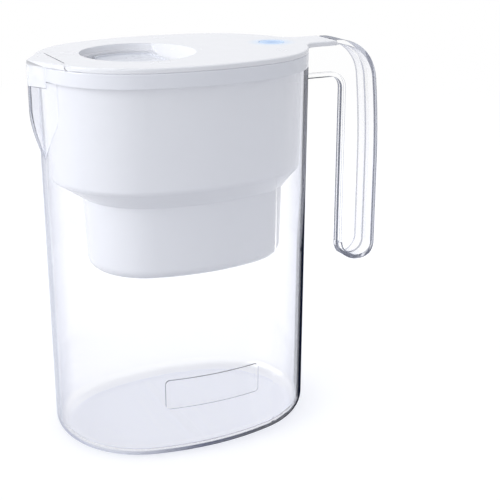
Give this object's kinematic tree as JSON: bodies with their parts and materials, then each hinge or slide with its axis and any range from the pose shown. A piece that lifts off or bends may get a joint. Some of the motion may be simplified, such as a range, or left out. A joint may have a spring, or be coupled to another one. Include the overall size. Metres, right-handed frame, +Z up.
{
  "type": "water filter pitcher",
  "caption": "Clear water filter pitcher with a hooked clear handle, a white hanging reservoir, a filter cartridge, and a white lid with fill flap, spout flap and lit indicator.",
  "frame": {"origin": "centre of the jug's flat base, on the surface it stands on", "axes": "+X towards the handle, -X towards the spout, -Y the front with the blank raised panel, +Z up"},
  "size_m": [0.2644, 0.14, 0.275],
  "materials": {
    "clear_san": "polished",
    "white_abs": "gloss",
    "spout_white": "gloss",
    "cartridge_white": "satin",
    "light_guide": "satin",
    "led": "gloss",
    "silicone": "matte",
    "felt": "matte",
    "carbon": "matte",
    "steel": "brushed",
    "board": "satin",
    "black_plastic": "satin"
  },
  "bodies": {
    "jug_body": {"jug": "clear_san"},
    "reservoir_body": {"reservoir": "white_abs", "filter_cup": "white_abs"},
    "cartridge_body": {"cartridge_shell": "cartridge_white", "cartridge_cap": "cartridge_white", "cartridge_seal": "silicone", "upper_screen": "felt", "lower_screen": "felt", "filter_medium": "carbon"},
    "lid_body": {"lid": "white_abs", "fill_flap_pin": "steel", "button_spring": "steel", "indicator_housing": "white_abs", "indicator_screws": "steel", "circuit_board": "board", "reset_switch": "black_plastic", "indicator_leds": "led", "coin_cell": "steel", "cell_contacts": "steel", "battery_cover": "white_abs", "battery_cover_seal": "silicone"},
    "fill_flap_body": {"fill_flap": "white_abs"},
    "spout_flap_body": {"spout_flap": "spout_white"},
    "button_body": {"indicator_button": "light_guide"}
  },
  "joints": [
    {"name": "reservoir_lift", "type": "slide", "parent": "jug_body", "child": "reservoir_body", "axis": [0, 0, 1], "range_m": [0, 0.15]},
    {"name": "cartridge_lift", "type": "slide", "parent": "reservoir_body", "child": "cartridge_body", "axis": [0, 0, 1], "range_m": [0, 0.05]},
    {"name": "lid_lift", "type": "slide", "parent": "reservoir_body", "child": "lid_body", "axis": [0, 0, 1], "range_m": [0, 0.06]},
    {"name": "fill_flap_hinge", "type": "hinge", "parent": "lid_body", "child": "fill_flap_body", "pos_m": [-0.0603, 0, 0.268], "axis": [0, -1, 0], "range_deg": [0, 85]},
    {"name": "spout_flap_hinge", "type": "hinge", "parent": "lid_body", "child": "spout_flap_body", "pos_m": [-0.0865, 0, 0.2734], "axis": [0, 1, 0], "range_deg": [0, 65]},
    {"name": "button_press", "type": "slide", "parent": "lid_body", "child": "button_body", "axis": [0, 0, -1], "range_m": [0, 0.0008], "stiffness_N_per_m": 600, "springref_m": -0.001, "deforming": ["button_spring"]}
  ]
}
